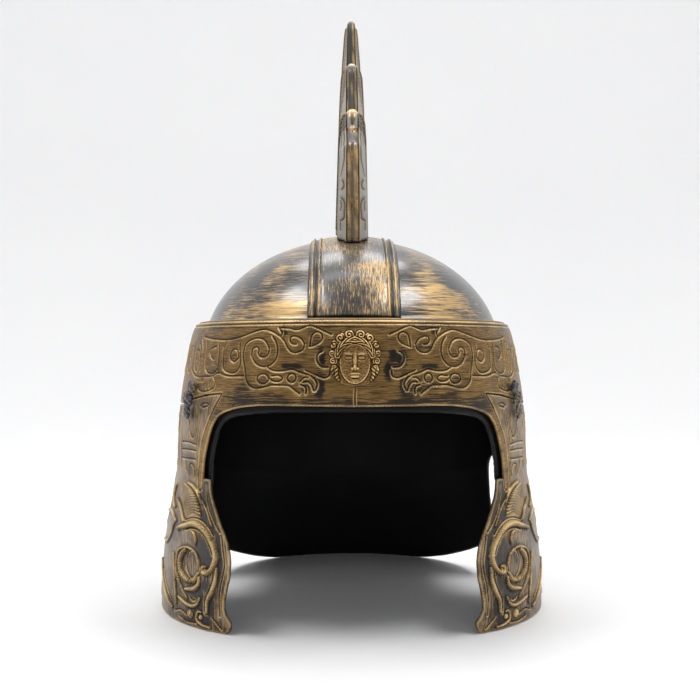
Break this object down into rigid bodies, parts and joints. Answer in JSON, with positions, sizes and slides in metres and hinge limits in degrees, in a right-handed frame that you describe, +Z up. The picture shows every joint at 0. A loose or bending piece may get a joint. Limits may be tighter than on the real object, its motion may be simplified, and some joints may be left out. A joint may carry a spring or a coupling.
{
  "type": "crested open-faced greek helmet",
  "caption": "Open-faced Greek parade helmet in bronzed black plastic: dome with raised band, scrolled brow band with mask, volute cheek guards, neck guard, fan crest.",
  "frame": {"origin": "middle of the bounding box at floor level, with the helmet standing on its cheek guards and neck guard", "axes": "+Z up, -Y towards the front of the face opening, +X to the right as seen from the front, which is the right in the names of the pieces"},
  "size_m": [0.2462, 0.2815, 0.3875],
  "materials": {
    "black_plastic": "gloss black moulded plastic, dry-brushed with gold over the dome",
    "brushed_bronze": "antique gold brushed in streaks over black plastic, rubbed bright on the raised lines",
    "rubbed_bronze": "antique gold rubbed over black plastic"
  },
  "bodies": {
    "root": {"skull_shell": "black_plastic", "crown_band": "rubbed_bronze", "brow_band": "brushed_bronze", "brow_mask": "rubbed_bronze", "cheek_guard_right": "brushed_bronze", "cheek_guard_left": "brushed_bronze", "temple_knot_right": "black_plastic", "temple_knot_left": "black_plastic", "crest": "rubbed_bronze"}
  },
  "joints": []
}
